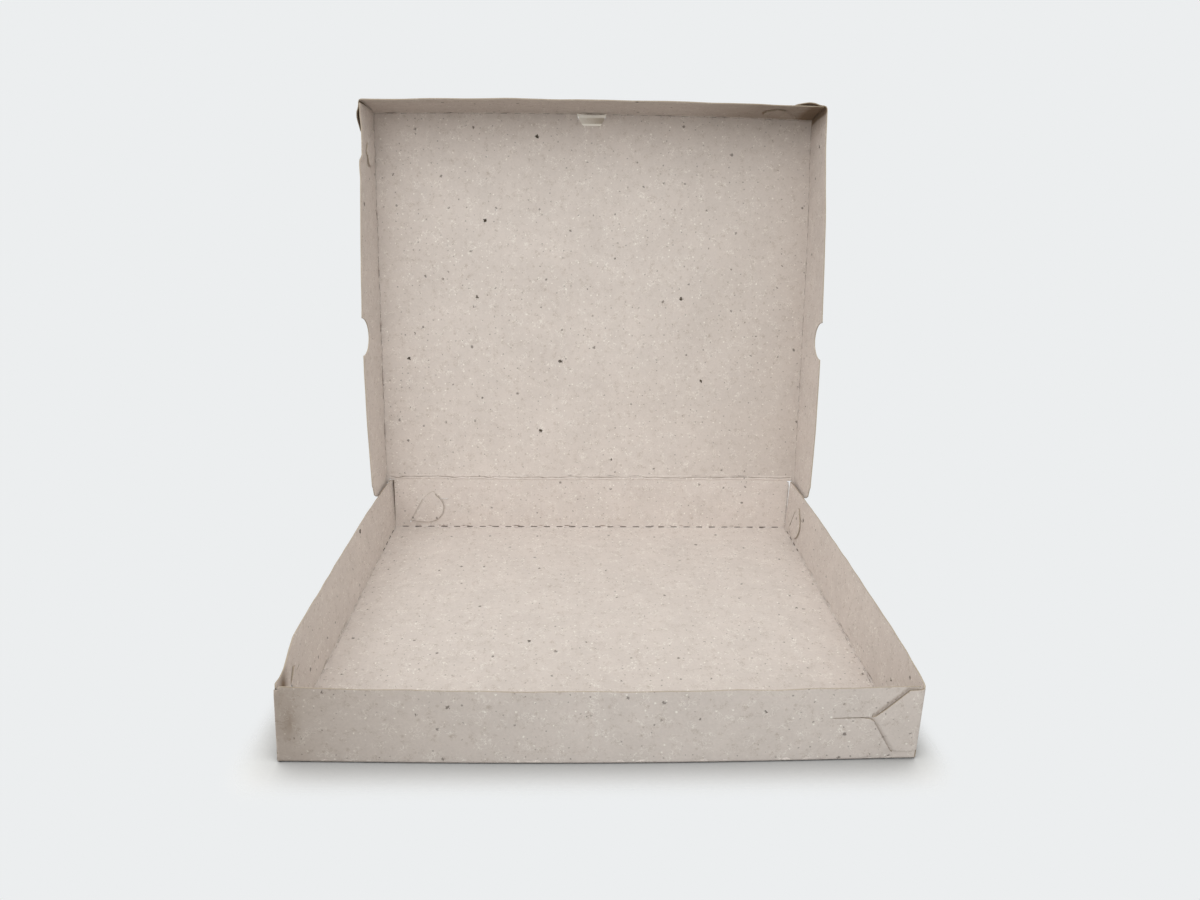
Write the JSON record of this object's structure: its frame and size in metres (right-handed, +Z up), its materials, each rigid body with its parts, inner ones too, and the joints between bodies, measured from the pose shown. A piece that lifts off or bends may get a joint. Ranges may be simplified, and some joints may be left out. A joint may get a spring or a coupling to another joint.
{
  "type": "pizza box",
  "caption": "Square folded board box with a shallow tray, hook-locked corners, perforated folds and a hinged lid with finger notches and a small push-in tab, shown open.",
  "frame": {"origin": "middle of the tray's underside, between the outer faces of its walls at the folds", "axes": "+Z up, +Y from the front wall to the hinge, +X to the right seen from the front"},
  "size_m": [0.3134, 0.296, 0.3032],
  "materials": {
    "board": "matte"
  },
  "bodies": {
    "tray": {"tray": "board"},
    "lid": {"lid": "board"},
    "lid_tab": {"lid_tab": "board"}
  },
  "joints": [
    {"name": "lid_hinge", "type": "hinge", "parent": "tray", "child": "lid", "pos_m": [0, 0.12715, 0.04171], "axis": [-1, 0, 0], "range_deg": [-98.8, 81.2]},
    {"name": "lid_tab_crease", "type": "hinge", "parent": "lid", "child": "lid_tab", "pos_m": [-0.0025, 0.16531, 0.28822], "axis": [1, 0, 0], "range_deg": [-45, 45]}
  ]
}
